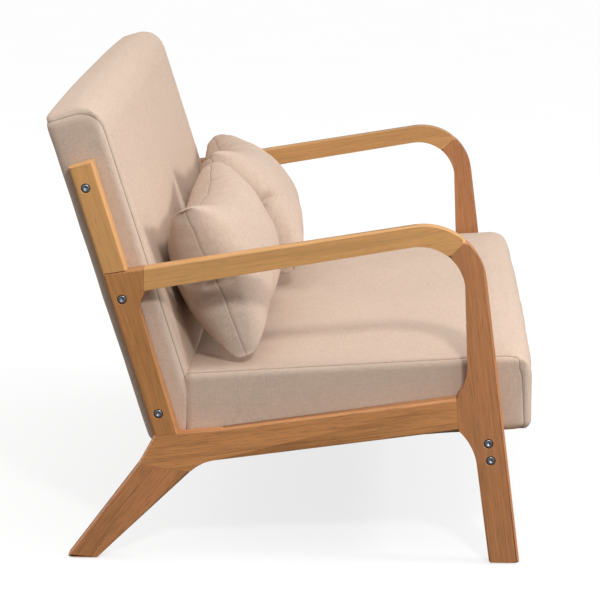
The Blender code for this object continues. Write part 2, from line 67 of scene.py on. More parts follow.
FABRIC = 0.0015
CUSHION_HALF = WIDTH / 2 - TIMBER - 0.002
SEAT_FRONT_Y = -0.4145
SEAT_REAR_Y = 0.188
SEAT_HEIGHT = 0.133
SEAT_SLOPE = 0.0655
SEAT_TILT = math.atan(SEAT_SLOPE)
SEAT_UNDER_Z = 0.2066
BACK_ANGLE = math.radians(17.17)
BACK_FOOT = (0.2493, 0.212)
BACK_LENGTH = 0.593
BACK_ARCH = 0.006
BACK_DEPTH = 0.096
BACK_FRONT = BACK_DEPTH - 0.0045  # where the cover's front face starts to crown
BACK_TOP_ROUNDING = (0.054, 0.049)  # reach of the top's rounded front edge, down and rearwards
BACK_RISE = 0.0068  # the top is this much higher at its left end than in its middle
BACK_TAPER = 0.075  # and the back is thinner there by this share
BACK_LOWEST = -0.009  # the lower edge starts no lower than this, measured up the back

PILLOW_LENGTH = 0.570
PILLOW_HEIGHT = 0.285
PILLOW_DEPTH = 0.176
# the pillow's middle, then its lean, roll and yaw in degrees
PILLOWS = {"right": ((-0.2965, 0.1335, 0.4830), 22.4, 0.3, -0.3),
           "left": ((0.2915, 0.1260, 0.4835), 37.0, 4.2, 3.5)}
# how far the top corners droop at the right-hand and the left-hand end
PILLOW_DROOP = {"right": (0.006, 0.006), "left": (0.004, 0.004)}
# a pillow's flat sheets before stuffing: their size, their grid and half the gap between their middles
SHEET_LENGTH = 0.600
SHEET_HEIGHT = 0.318
SHEET_GRID = (76, 40)
SHEET_GAP = 0.012

BOLT_HEAD_RADIUS = 0.007
HEAD_SPAN = (0.0006, 0.0050)
SOCKET_RADIUS = 0.0032
SOCKET_BOTTOM = 0.0034
WASHER_RADIUS = 0.0078
WASHER_HOLE = 0.0044
WASHER_SPAN = (0.0053, 0.0066)
WASHER_CHAMFER = 0.0003
COUNTERBORE_RADIUS = 0.0083
COUNTERBORE_DEPTH = 0.0070
BOLTS = {
    "back_upper": (0.3476, 0.655),
    "back_middle": (0.2886, 0.463),
    "back_lower": (0.2285, 0.262),
    "front_upper": (-0.3408, 0.2154),
    "front_lower": (-0.3453, 0.1852),
}

# ---------------- camera

CAMERA_ELEVATION = math.radians(11.87)
CAMERA_AZIMUTH = math.radians(2.58)
CAMERA_TARGET = (-WIDTH / 2, -0.0165 - ORIGIN_Y, 0.4656)
CAMERA_DISTANCE = 4.26
CAMERA_LENS = 150


def build_camera():
    """A long lens, almost square to the right side frame, a little above the arm."""
    level = math.cos(CAMERA_ELEVATION)
    forward = Vector((level * math.cos(CAMERA_AZIMUTH), level * math.sin(CAMERA_AZIMUTH),
                      -math.sin(CAMERA_ELEVATION)))
    data = bpy.data.cameras.new("camera")
    data.lens = CAMERA_LENS
    data.sensor_width = 36
    camera = bpy.data.objects.new("camera", data)
    camera.location = Vector(CAMERA_TARGET) - forward * CAMERA_DISTANCE
    camera.rotation_euler = forward.to_track_quat("-Z", "Y").to_euler()
    bpy.context.scene.collection.objects.link(camera)
    bpy.context.scene.camera = camera


build_camera()

# ---------------- material nodes


class Shader:
    """A Principled material and short ways to add nodes to it; turn tilts its patterns about X."""

    def __init__(self, name, roughness, metallic=0.0, specular=0.5, turn=0.0):
        self.turn = turn
        self.material = bpy.data.materials.new(name)
        self.material.use_nodes = True
        self.tree = self.material.node_tree
        self.surface = self.tree.nodes["Principled BSDF"]
        self.surface.inputs["Roughness"].default_value = roughness
        self.surface.inputs["Metallic"].default_value = metallic
        self.surface.inputs["Specular IOR Level"].default_value = specular

    def add(self, kind, output=0, settings=(), **inputs):
        node = self.tree.nodes.new(kind)
        for key, value in dict(settings).items():
            setattr(node, key, value)
        for key, value in inputs.items():
            socket = node.inputs[int(key[1:])] if key[1:].isdigit() else node.inputs[key.replace("_", " ")]
            if isinstance(value, bpy.types.NodeSocket):
                self.tree.links.new(value, socket)
            else:
                socket.default_value = value
        return node.outputs[output]

    def place(self, scale=(1, 1, 1), location=(0, 0, 0)):
        vector = self.add("ShaderNodeTexCoord", "Object")
        if self.turn:
            vector = self.add("ShaderNodeMapping", Vector=vector, Rotation=(self.turn, 0, 0))
        return self.add("ShaderNodeMapping", Vector=vector, Scale=scale, Location=location)

    def noise(self, vector, scale, detail=3.0, roughness=0.5, distortion=0.0):
        return self.add("ShaderNodeTexNoise", 0, Vector=vector, Scale=scale, Detail=detail,
                        Roughness=roughness, Distortion=distortion)

    def wave(self, vector, scale, direction, distortion=0.0, detail=2.0, detail_scale=1.0):
        return self.add("ShaderNodeTexWave", "Fac", {"bands_direction": direction}, Vector=vector,
                        Scale=scale, Distortion=distortion, Detail=detail, Detail_Scale=detail_scale)

    def math(self, operation, a, b=0.0):
        return self.add("ShaderNodeMath", 0, {"operation": operation}, _0=a, _1=b)

    def between(self, value, low, high):
        """0 below low, 1 above high, and smooth between them."""
        return self.add("ShaderNodeMapRange", 0, {"interpolation_type": "SMOOTHSTEP"}, Value=value,
                        From_Min=low, From_Max=high)

    def ramp(self, factor, *stops):
        node = self.tree.nodes.new("ShaderNodeValToRGB")
        self.tree.links.new(factor, node.inputs[0])
        elements = node.color_ramp.elements
        while len(elements) < len(stops):
            elements.new(0.5)
        for element, (position, color) in zip(elements, stops):
            element.position = position
            element.color = (*color, 1.0)
        return node.outputs[0]

    def mix(self, factor, a, b, blend="MIX"):
        node = self.tree.nodes.new("ShaderNodeMix")
        node.data_type = "RGBA"
        node.blend_type = blend
        for socket, value in ((node.inputs[0], factor), (node.inputs[6], a), (node.inputs[7], b)):
            if isinstance(value, bpy.types.NodeSocket):
                self.tree.links.new(value, socket)
            else:
                socket.default_value = value if isinstance(value, float) else (*value, 1.0)
        return node.outputs[2]

    def finish(self, color, height=None, distance=0.001, strength=1.0, roughness=None):
        self.tree.links.new(color, self.surface.inputs["Base Color"])
        if roughness is not None:
            self.tree.links.new(roughness, self.surface.inputs["Roughness"])
        if height is not None:
            bump = self.add("ShaderNodeBump", 0, Height=height, Distance=distance, Strength=strength)
            self.tree.links.new(bump, self.surface.inputs["Normal"])
        return self.material


def shade(color, factor):
    return tuple(c * factor for c in color)


def timber_material(name, color, seed, contrast=1.0, roughness=0.36, turns=0, turn=0.0):
    """Oiled timber with streaks, fibres and pores; the grain runs along Z, or X or Y for 1 or 2 turns."""
    s = Shader(name, roughness, turn=turn)
    shift = (0.37 * seed, 0.61 * seed, 1.3 * seed)

    def grain(scale, size, detail, rough, distortion=0.0):
        turned_scale = scale[-turns:] + scale[:-turns] if turns else scale
        return s.noise(s.place(turned_scale, shift), size, detail, rough, distortion)

    wander = grain((1, 1, 0.14), 14, 2, 0.5)
    streaks = grain((0.6, 1, 0.018), 210, 3, 0.5, 0.2)
    fibres = grain((1, 1, 0.022), 620, 3, 0.6)
    pores = grain((1, 1, 0.030), 950, 2, 0.5)
    dark, light = shade(color, 1 - 0.34 * contrast), shade(color, 1 + 0.22 * contrast)
    base = s.ramp(wander, (0.30, shade(color, 0.90)), (0.70, shade(color, 1.09)))
    layers = ((streaks, 0.50, 0.66, 0.50, dark), (streaks, 0.46, 0.34, 0.50, light),
              (fibres, 0.50, 0.68, 0.55, dark), (fibres, 0.46, 0.32, 0.40, light))
    for pattern, low, high, share, tone in layers:
        base = s.mix(s.math("MULTIPLY", s.between(pattern, low, high), share), base, tone)
    pore = s.between(pores, 0.57, 0.65)
    base = s.mix(s.math("MULTIPLY", pore, 0.60 * contrast), base, shade(color, 0.40))
    height = s.math("SUBTRACT", s.math("MULTIPLY", fibres, 0.35), pore)
    rough = s.math("ADD", s.math("MULTIPLY", fibres, 0.14), roughness - 0.06)
    return s.finish(base, height, 0.0002, 0.5, rough)


SEAM = "seam"  # the mesh attribute that holds the distance to the nearest seam


def linen_material(name, color, turn=0.0, line=0.0012):
    """Plain-weave linen with slubs; painted shade darkens each seam where the mesh's seam distance is under
    `line`.
    """
    s = Shader(name, 0.9, specular=0.2, turn=turn)
    s.surface.inputs["Sheen Weight"].default_value = 0.12
    s.surface.inputs["Sheen Roughness"].default_value = 0.5
    s.surface.inputs["Sheen Tint"].default_value = (*color, 1.0)
    slubs = None
    for stretch in ((0.06, 1, 1), (1, 0.10, 1), (1, 1, 0.10)):
        threads = s.noise(s.place(stretch), 620, 2, 0.65)
        slubs = threads if slubs is None else s.math("ADD", slubs, threads)
    slubs = s.math("DIVIDE", slubs, 3.0)
    weave = None
    for axis in "XYZ":
        band = s.wave(s.place(), 330, axis, 0.5, 1, 3.0)
        weave = band if weave is None else s.math("ADD", weave, band)
    weave = s.math("DIVIDE", weave, 3.0)
    cloud = s.noise(s.place(), 7, 3, 0.5)
    base = s.ramp(slubs, (0.36, shade(color, 0.82)), (0.50, shade(color, 1.0)), (0.62, shade(color, 1.12)))
    base = s.mix(s.math("MULTIPLY", s.between(cloud, 0.35, 0.7), 0.35), base, shade(color, 1.05))
    height = s.math("ADD", s.math("MULTIPLY", weave, 0.5), s.math("MULTIPLY", slubs, 1.6))
    away = s.math("ABSOLUTE", s.add("ShaderNodeAttribute", "Fac", {"attribute_name": SEAM}))
    # painted shade: a dark line along each seam, where shade falls in its crease
    base = s.mix(s.math("MULTIPLY", s.between(away, line, line / 4), 0.58), base, shade(color, 0.25))
    height = s.math("SUBTRACT", height, s.math("MULTIPLY", s.between(away, 0.0030, 0.0002), 3.0))
    return s.finish(base, height, 0.0004, 0.5)


def metal_material(name, color, roughness):
    """Plated steel with fine turning marks."""
    s = Shader(name, roughness, metallic=1.0)
    marks = s.noise(s.place(), 900, 3, 0.6)
    base = s.ramp(marks, (0.3, shade(color, 0.75)), (0.7, shade(color, 1.2)))
    rough = s.math("ADD", s.math("MULTIPLY", marks, 0.2), roughness - 0.08)
    return s.finish(base, marks, 0.0001, 0.3, rough)


def speckled_material(name, color, scale, roughness=0.9, stretch=(1, 1, 1), distance=0.001, spread=0.18):
    """Foam, felt, board, webbing or nylon: a colour broken up by a noise of the right scale."""
    s = Shader(name, roughness, specular=0.3)
    grains = s.noise(s.place(stretch), scale, 4, 0.6)
    base = s.ramp(grains, (0.3, shade(color, 1 - spread)), (0.7, shade(color, 1 + spread)))
    return s.finish(base, grains, distance, 0.6)


def webbing_material(name, color):
    """Elastic webbing: lengthwise ribs crossed by fine weft."""
    s = Shader(name, 0.8, specular=0.25)
    ribs = s.wave(s.place(), 160, "X", 0.2, 1, 2.0)
    weft = s.wave(s.place(), 420, "Y", 0.3, 1, 2.0)
    woven = s.math("ADD", s.math("MULTIPLY", ribs, 0.6), s.math("MULTIPLY", weft, 0.4))
    base = s.ramp(woven, (0.2, shade(color, 0.7)), (0.8, shade(color, 1.6)))
    return s.finish(base, woven, 0.0006, 0.7)


GOLDEN = (0.690, 0.357, 0.129)
HONEY = (0.625, 0.275, 0.099)
UMBER = (0.540, 0.237, 0.080)
RED_BROWN = (0.558, 0.237, 0.094)
LEFT_TONE = 0.80  # the left side frame's timber is drawn darker by this share
LINEN = (0.592, 0.455, 0.362)
PILLOW_LINEN = (0.568, 0.437, 0.350)

LINEN_SEAT = linen_material("linen_seat", LINEN, SEAT_TILT)
LINEN_BACK = linen_material("linen_back", LINEN, BACK_ANGLE)
# its painted seam shade is a narrower line
LINEN_PILLOW = linen_material("linen_pillow", PILLOW_LINEN, line=0.0007)
BLACK_STEEL = metal_material("black_steel", (0.42, 0.47, 0.54), 0.34)
ZINC = metal_material("zinc_steel", (0.62, 0.58, 0.52), 0.35)
FOAM = speckled_material("foam_block", (0.80, 0.74, 0.55), 420, distance=0.0015)
FIBRE = speckled_material("fibre_filling", (0.82, 0.81, 0.78), 160, distance=0.002, spread=0.08)
PINE = (0.60, 0.42, 0.235)
HIDDEN_MATERIALS = {
    "seat_frame": timber_material("pine_rails", PINE, 2, 0.8, 0.6, turns=1),
    "back_frame": timber_material("pine_stiles", PINE, 5, 0.8, 0.6),
    "back_board": speckled_material("hardboard", (0.36, 0.22, 0.12), 260, 0.7, spread=0.22),
    "seat_webbing": webbing_material("elastic_webbing", (0.075, 0.075, 0.08)),
    "seat_dust_cover": speckled_material("dust_cloth", (0.045, 0.045, 0.048), 900, stretch=(1, 0.5, 1)),
}
NYLON = speckled_material("glide_nylon", (0.70, 0.56, 0.42), 500, 0.5, distance=0.0002)


def finish_cad_nodes():
    """Give the CAD nodes that stay their own materials."""
    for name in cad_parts:
        obj = bpy.data.objects[name]
        material = NYLON if name.endswith("_glide") else None
        for start, hidden in HIDDEN_MATERIALS.items():
            if name.startswith(start):
                material = hidden
        if material:
            obj.data.materials.clear()
            obj.data.materials.append(material)


# ---------------- meshes


def new_piece(name, bm, material, matrix=None, body="frame", replaces=(), sharp=None):
    """Turn a bmesh in design coordinates into a piece on a body; matrix is the object's own frame."""
    matrix = PLACE if matrix is None else matrix
    bmesh.ops.recalc_face_normals(bm, faces=bm.faces)
    mesh = bpy.data.meshes.new(name)
    bm.to_mesh(mesh)
    bm.free()
    mesh.shade_smooth()
    if sharp:
        mesh.set_sharp_from_angle(angle=math.radians(sharp))
    mesh.materials.append(material)
    obj = bpy.data.objects.new(name, mesh)
    bpy.context.scene.collection.objects.link(obj)
    obj.matrix_world = matrix
    if body:
        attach(obj, body)
    if replaces:
        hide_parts(*replaces)
    return obj


def apply_modifiers(obj):
    """Make the object's mesh what its modifiers turn it into, with every attribute kept."""
    graph = bpy.context.evaluated_depsgraph_get()
    graph.update()
    mesh = bpy.data.meshes.new_from_object(obj.evaluated_get(graph), preserve_all_data_layers=True,
                                           depsgraph=graph)
    old = obj.data
    obj.modifiers.clear()
    obj.data = mesh
    mesh.name = old.name
    bpy.data.meshes.remove(old)


# ---------------- outlines in the side view


def post_front(z):
    return (POST_FRONT_Y + RECLINE * z, z)


def post_rear(z):
    return (POST_REAR_Y + RECLINE * z, z)


def arm_top(y):
    return (y, ARM_TOP_Z - ARM_SLOPE * y)


def arm_under(y):
    return (y, ARM_UNDER_Z - ARM_SLOPE * y)


def leg_front(z):
    return (LEG_FRONT_Y + LEG_LEAN * z, z)


def fillet(before, corner, after, radius, steps):
    """Points of the arc that rounds a corner, from the side of `before` to the side of `after`."""
    corner = Vector(corner)
    to_before = (Vector(before) - corner).normalized()
    to_after = (Vector(after) - corner).normalized()
    half = to_before.angle(to_after) / 2
    centre = corner + (to_before + to_after).normalized() * radius / math.sin(half)
    start = corner + to_before * radius / math.tan(half) - centre
    end = corner + to_after * radius / math.tan(half) - centre
    sweep = start.angle(end)
    turn = math.copysign(sweep, start.x * end.y - start.y * end.x)
    return [tuple(centre + Matrix.Rotation(turn * i / steps, 2) @ start) for i in range(steps + 1)]


def outline(corners):
    """Closed outline from (y, z) corners; a corner written (y, z, radius, steps) is rounded."""
    points = []
    for i, corner in enumerate(corners):
        if len(corner) == 2:
            points.append(corner)
            continue
        y, z, radius, steps = corner
        before = corners[i - 1][:2]
        after = corners[(i + 1) % len(corners)][:2]
        points += fillet(before, (y, z), after, radius, steps)
    return points


def inset(points, distance):
    """Move every edge of a closed outline inwards by `distance`."""
    area = sum(a[0] * b[1] - b[0] * a[1] for a, b in zip(points, points[1:] + points[:1]))
    sign = math.copysign(1.0, area)
    result = []
    for i, point in enumerate(points):
        p = Vector(point)
        back = (p - Vector(points[i - 1])).normalized()
        ahead = (Vector(points[(i + 1) % len(points)]) - p).normalized()
        normal_a = Vector((-back.y, back.x)) * sign
        normal_b = Vector((-ahead.y, ahead.x)) * sign
        mitre = (normal_a + normal_b).normalized()
        result.append(tuple(p + mitre * distance / max(mitre.dot(normal_a), 0.3)))
    return result


def prism(points, x_low, x_high):
    """Extrude a (y, z) outline along X."""
    bm = bmesh.new()
    low = [bm.verts.new((x_low, y, z)) for y, z in points]
    high = [bm.verts.new((x_high, y, z)) for y, z in points]
    bm.faces.new(low)
    bm.faces.new(high)
    for i in range(len(points)):
        j = (i + 1) % len(points)
        bm.faces.new((low[i], low[j], high[j], high[i]))
    return bm


def on_segment(point, start, end, tolerance=0.0006):
    a, b, p = Vector(start), Vector(end), Vector(point)
    along = (b - a).normalized()
    t = (p - a).dot(along)
    return -tolerance < t < (b - a).length + tolerance and (p - a - along * t).length < tolerance


def turned(profile, segments):
    """Stack rings along X from (x, radius) steps and close both ends; a step marked "hex" is hexagonal."""
    bm = bmesh.new()
    rings = []
    for x, radius, *hexagonal in profile:
        ring = []
        for i in range(segments):
            angle = 2 * math.pi * i / segments
            r = radius
            if hexagonal:
                r *= math.cos(math.pi / 6) / math.cos((angle % (math.pi / 3)) - math.pi / 6)
            ring.append(bm.verts.new((x, r * math.cos(angle), r * math.sin(angle))))
        rings.append(ring)
    for a, b in zip(rings, rings[1:]):
        for i in range(segments):
            j = (i + 1) % segments
            bm.faces.new((a[i], a[j], b[j], b[i]))
    bm.faces.new(rings[0])
    bm.faces.new(rings[-1])
    return bm


def place_turned(bm, side, y, z):
    """Profiles are drawn from the outer face inwards; put them on their side of the sofa."""
    bmesh.ops.transform(bm, matrix=Matrix.Diagonal((-side, 1, 1, 1)), verts=bm.verts)
    bmesh.ops.translate(bm, vec=(side * WIDTH / 2, y, z), verts=bm.verts)
    return bm


# ---------------- timber
# (y, z) points of the side view; some rounded corners have their radius and steps with them

ARM_POST_REAR = (0.3214, 0.5072)
ARM_POST_FRONT = (0.2792, 0.5141)
ARM_JOINT_UNDER = (ARM_JOINT_Y, 0.4712)
CROOK_START = (0.2405, 0.4859)
CROOK_CORNER = (0.2615, 0.4551, 0.030, 12)
KNEE_REAR = (0.2358, 0.2235)
KNEE_FRONT = post_front(0.227)
HOCK_REAR = (0.2647, 0.1717)
HOCK_FRONT = (0.1739, 0.1592)
HOCK_CORNER = (0.1546, 0.1773, 0.075, 12)
RAIL_TOP_BEND = (0.130, 0.2325, 0.40, 6)
RAIL_JOINT_TOP = (-0.2850, 0.2950)
RAIL_JOINT_UNDER = (-0.2885, 0.2385)
NOSE_CORNER = (-0.3202, 0.6105)
NOSE_CROOK = (-0.2945, 0.5720)
LEG_WEB_TOP = (-0.3036, 0.3237)
LEG_WEB_TOP_ARC = (0.085, 10)
LEG_WEB_UNDER = (-0.3164, 0.2124, 0.10, 12)
FOOT_ARC = (0.003, 3)
FRONT_FOOT_REAR_Y = -0.3450
REAR_FOOT_REAR_Y = 0.3930
REAR_FOOT_FRONT_Y = 0.3385
POST_TOP_SLANT = 0.0125  # the post's top is this much higher at its front
RAIL_GRAIN = (1, -0.14)
REAR_LEG_GRAIN = (1, -1.28)
NOSE_STEPS = 26
NOSE_SPLIT = 12  # the step of the nose at which leg and arm meet
SHARP_ANGLE = 35


def side_outlines():
    """Outline, square-cut faces, grain direction, colour and contrast of each timber of a side frame."""
    outer = fillet(leg_front(0.3), NOSE_CORNER, arm_top(0.0), ARM_NOSE_RADIUS, NOSE_STEPS)
    inner = fillet(LEG_WEB_TOP, NOSE_CROOK, arm_under(0.0), ARM_CROOK_RADIUS, NOSE_STEPS - 2)
    mitre = (outer[NOSE_SPLIT], inner[NOSE_SPLIT])
    arm_joint = (arm_top(ARM_JOINT_Y), ARM_JOINT_UNDER)
    post_joint = (ARM_POST_REAR, ARM_POST_FRONT)
    knee_joint = (KNEE_REAR, KNEE_FRONT)
    hock_joint = (HOCK_REAR, HOCK_FRONT)
    rail_joint = (RAIL_JOINT_TOP, RAIL_JOINT_UNDER)
    front_sole = (leg_front(FOOT_Z), (FRONT_FOOT_REAR_Y, FOOT_Z))
    rear_sole = ((REAR_FOOT_REAR_Y, FOOT_Z), (REAR_FOOT_FRONT_Y, FOOT_Z))
    leg = outline([(*leg_front(FOOT_Z), *FOOT_ARC), (FRONT_FOOT_REAR_Y, FOOT_Z, *FOOT_ARC), LEG_WEB_UNDER,
                   RAIL_JOINT_UNDER, RAIL_JOINT_TOP, (*LEG_WEB_TOP, *LEG_WEB_TOP_ARC), inner[0]])
    leg += inner[1:NOSE_SPLIT + 1] + outer[NOSE_SPLIT::-1]
    arm = outer[NOSE_SPLIT:] + [arm_top(ARM_JOINT_Y), ARM_JOINT_UNDER, CROOK_START]
    arm += inner[:NOSE_SPLIT - 1:-1]
    upright = outline([ARM_POST_REAR, KNEE_REAR, KNEE_FRONT, CROOK_CORNER, ARM_JOINT_UNDER,
                       arm_top(ARM_JOINT_Y)])
    post = [ARM_POST_REAR, ARM_POST_FRONT, post_front(POST_TOP_Z + POST_TOP_SLANT), post_rear(POST_TOP_Z)]
    rail = outline([KNEE_REAR, HOCK_REAR, HOCK_FRONT, HOCK_CORNER, RAIL_JOINT_UNDER, RAIL_JOINT_TOP,
                    RAIL_TOP_BEND, KNEE_FRONT])
    rear_leg = outline([HOCK_REAR, (REAR_FOOT_REAR_Y, FOOT_Z, *FOOT_ARC),
                        (REAR_FOOT_FRONT_Y, FOOT_Z, *FOOT_ARC), HOCK_FRONT])
    return {
        "front_leg": (leg, [mitre, rail_joint, front_sole], (LEG_LEAN, 1), RED_BROWN, 0.75),
        "arm_rail": (arm, [mitre, arm_joint], (1, -ARM_SLOPE), GOLDEN, 0.55),
        "rear_upright": (upright, [arm_joint, knee_joint], (RECLINE, 1), UMBER, 0.7),
        "upper_post": (post, [post_joint], (RECLINE, 1), GOLDEN, 0.55),
        "side_rail": (rail, [knee_joint, hock_joint, rail_joint], RAIL_GRAIN, HONEY, 0.95),
        "rear_leg": (rear_leg, [hock_joint, rear_sole], REAR_LEG_GRAIN, RED_BROWN, 1.15),
    }


def grain_turn(direction):
    """The turn about X that lays a (y, z) direction along Z."""
    return math.atan2(direction[0], direction[1])


def bevelled_timber(points, joints, x_low, x_high):
    """Long edges rounded over; glued joint faces and the soles of the feet left square."""
    bm = prism(inset(points, JOINT_GAP / 2), x_low, x_high)
    rounded = []
    for edge in bm.edges:
        a, b = edge.verts
        if abs(a.co.x - b.co.x) > TIMBER / 2:
            continue
        ends = [(v.co.y, v.co.z) for v in edge.verts]
        if not any(all(on_segment(p, *joint) for p in ends) for joint in joints):
            rounded.append(edge)
    bmesh.ops.bevel(bm, geom=rounded, offset=ROUNDOVER, offset_type="OFFSET", segments=5, profile=0.5,
                    affect="EDGES", clamp_overlap=False)
    bmesh.ops.remove_doubles(bm, verts=bm.verts, dist=MERGE_DISTANCE)
    return bm


def cut_counterbores(obj, side, places):
    """Sink the bolt holes, with a small chamfer at the mouth."""
    cutters = []
    chamfer, outside = 0.0006, 0.004
    profile = [(-outside, COUNTERBORE_RADIUS + chamfer + outside), (chamfer, COUNTERBORE_RADIUS),
               (COUNTERBORE_DEPTH, COUNTERBORE_RADIUS)]
    for y, z in places:
        cutter = new_piece("cutter", place_turned(turned(profile, 40), side, y, z), BLACK_STEEL, body=None)
        cut = obj.modifiers.new("cut", "BOOLEAN")
        cut.operation = "DIFFERENCE"
        cut.solver = "EXACT"
        cut.object = cutter
        cutters.append(cutter)
    apply_modifiers(obj)
    for cutter in cutters:
        bpy.data.objects.remove(cutter, do_unlink=True)


def build_side_frame(side_name):
    side = SIDES[side_name]
    x_low, x_high = sorted((side * (WIDTH / 2 - TIMBER), side * WIDTH / 2))
    bored = {"upper_post": ["back_upper"], "rear_upright": ["back_middle", "back_lower"],
             "front_leg": ["front_upper", "front_lower"]}
    for seed, (part, spec) in enumerate(side_outlines().items()):
        points, joints, direction, color, contrast = spec
        name = f"{side_name}_{part}"
        bm = bevelled_timber(points, joints, x_low, x_high)
        tone = shade(color, 1.0 if side < 0 else LEFT_TONE)
        material = timber_material(name + "_timber", tone, seed + 3.7 * side, contrast,
                                   turn=grain_turn(direction))
        obj = new_piece(name + "_piece", bm, material, replaces=[name], sharp=SHARP_ANGLE)
        if part in bored:
            cut_counterbores(obj, side, [BOLTS[b] for b in bored[part]])
            obj.data.set_sharp_from_angle(angle=math.radians(SHARP_ANGLE))
        flat = obj.modifiers.new("flat_faces", "WEIGHTED_NORMAL")
        flat.keep_sharp = True
    for place, (y, z) in BOLTS.items():
        build_bolt(f"{side_name}_{place}", side, y, z)


def build_bolt(name, side, y, z):
    """Button-edged socket head in its counterbore, over a washer."""
    top, base = HEAD_SPAN
    edge, edge_steps, chamfer, drill_point = 0.0016, 5, 0.0004, 0.0012
    rounded = []
    for i in range(edge_steps + 1):
        angle = math.pi / 2 * i / edge_steps
        rounded.append((top + edge * (1 - math.sin(angle)), BOLT_HEAD_RADIUS - edge * (1 - math.cos(angle))))
    profile = [(SOCKET_BOTTOM + drill_point, 0.0004), (SOCKET_BOTTOM, SOCKET_RADIUS * 0.97, "hex"),
               (top + chamfer, SOCKET_RADIUS, "hex"), (top, SOCKET_RADIUS + chamfer)]
    profile += rounded[::-1] + [(base, BOLT_HEAD_RADIUS)]
    head = place_turned(turned(profile, 48), side, y, z)
    new_piece(name + "_bolt_piece", head, BLACK_STEEL, replaces=[name + "_bolt"],
              sharp=30)
    near, far = WASHER_SPAN
    ring = [(near, WASHER_HOLE), (near, WASHER_RADIUS - WASHER_CHAMFER),
            (near + WASHER_CHAMFER, WASHER_RADIUS), (far, WASHER_RADIUS), (far, WASHER_HOLE)]
    disc = place_turned(turned(ring, 48), side, y, z)
    new_piece(name + "_washer_piece", disc, ZINC, replaces=[name + "_washer"], sharp=30)


def build_front_stretcher():
    half = WIDTH / 2 - TIMBER - JOINT_GAP
    lean, low, high, centre_y, depth = 0.15, 0.166, 0.2275, -0.3435, 0.032
    points = []
    for z, shift in ((low, -1), (low, 1), (high, 1), (high, -1)):
        points.append((centre_y + lean * (z - 0.2) + shift * depth / 2, z))
    bm = prism(points, -half, half)
    long_edges = [e for e in bm.edges if abs(e.verts[0].co.x - e.verts[1].co.x) > half]
    bmesh.ops.bevel(bm, geom=long_edges, offset=0.003, segments=5, profile=0.5, affect="EDGES")
    material = timber_material("front_stretcher_timber", HONEY, 11, 1.0, turns=1)
    obj = new_piece("front_stretcher_piece", bm, material, replaces=["front_stretcher"],
                    sharp=SHARP_ANGLE)
    obj.modifiers.new("flat_faces", "WEIGHTED_NORMAL").keep_sharp = True


# ---------------- sewn blocks


def spaced(low, high, step):
    count = max(1, round(abs(high - low) / step))
    return [low + (high - low) * i / count for i in range(count + 1)]


def arc(cx, cy, radius_x, radius_y, start, end, steps):
    points = []
    for i in range(steps + 1):
        angle = math.radians(start + (end - start) * i / steps)
        points.append((cx + radius_x * math.cos(angle), cy + radius_y * math.sin(angle)))
    return points


# steps of a loop along its X sides, its other sides and each rounded corner
LOOP_X = 104
LOOP_V = 52
CORNER_STEPS = 8


def rectangle_loop(half_x, low, high, low_radius, high_radius):
    """Evenly spaced (x, v) points of a rounded rectangle, always the same number for the same sides."""
    points = [(half_x - low_radius) * (2 * i / LOOP_X - 1) for i in range(1, LOOP_X)]
    loop = [(x, low) for x in points]
    loop += arc(half_x - low_radius, low + low_radius, low_radius, low_radius, -90, 0, CORNER_STEPS)
    v_low, v_high = low + low_radius, high - high_radius
    loop += [(half_x, v_low + (v_high - v_low) * i / LOOP_V) for i in range(1, LOOP_V)]
    loop += arc(half_x - high_radius, high - high_radius, high_radius, high_radius, 0, 90, CORNER_STEPS)
    loop += [((half_x - high_radius) * (1 - 2 * i / LOOP_X), high) for i in range(1, LOOP_X)]
    loop += arc(-half_x + high_radius, high - high_radius, high_radius, high_radius, 90, 180, CORNER_STEPS)
    loop += [(-half_x, v_high + (v_low - v_high) * i / LOOP_V) for i in range(1, LOOP_V)]
    loop += arc(-half_x + low_radius, low + low_radius, low_radius, low_radius, 180, 270, CORNER_STEPS)
    return loop


def skin(loops, place, cap):
    """Quads between loops of (x, v, h) points; a grid at the heights cap(x, v) closes the last loop."""
    bm = bmesh.new()
    rings = [[bm.verts.new(place(*p)) for p in loop] for loop in loops]
    count = len(rings[0])
    for a, b in zip(rings, rings[1:]):
        for i in range(count):
            j = (i + 1) % count
            bm.faces.new((a[i], a[j], b[j], b[i]))
    across, up = LOOP_X + CORNER_STEPS, LOOP_V + CORNER_STEPS
    start = -CORNER_STEPS // 2 - 1  # the middle of the loop's last corner, its first grid corner
    points, verts = loops[-1], rings[-1]
    grid = []
    for j in range(up + 1):
        row = []
        for i in range(across + 1):
            if j == 0:
                row.append(verts[(start + i) % count])
            elif i == across:
                row.append(verts[(start + across + j) % count])
            elif j == up:
                row.append(verts[(start + 2 * across + up - i) % count])
            elif i == 0:
                row.append(verts[(start - j) % count])
            else:
                low, high = points[(start + i) % count], points[(start + 2 * across + up - i) % count]
                left, right = points[(start - j) % count], points[(start + across + j) % count]
                x = left[0] + (right[0] - left[0]) * i / across
                v = low[1] + (high[1] - low[1]) * j / up
                row.append(bm.verts.new(place(x, v, cap(x, v))))
        grid.append(row)
    for j in range(up):
        for i in range(across):
            bm.faces.new((grid[j][i], grid[j][i + 1], grid[j + 1][i + 1], grid[j + 1][i]))
    return bm


def finish_cover(obj, thickness=FABRIC):
    """Give a sewn skin the fabric's thickness, inwards, and bring it back from its own tilted frame."""
    solid = obj.modifiers.new("thickness", "SOLIDIFY")
    solid.thickness = thickness
    solid.offset = -1
    apply_modifiers(obj)
    obj.data.transform(PLACE.inverted() @ obj.matrix_world)
    obj.matrix_world = PLACE


def smooth_step(value, low, high):
    t = min(max((value - low) / (high - low), 0.0), 1.0)
    return t * t * (3 - 2 * t)


def groove(distance, depth=0.0013, width=0.0024):
    return depth * math.exp(-(distance / width) ** 2)


def puff(distance, height, reach):
    """How far the fabric stands proud beside a seam."""
    return height * (1 - math.exp(-abs(distance) / reach))


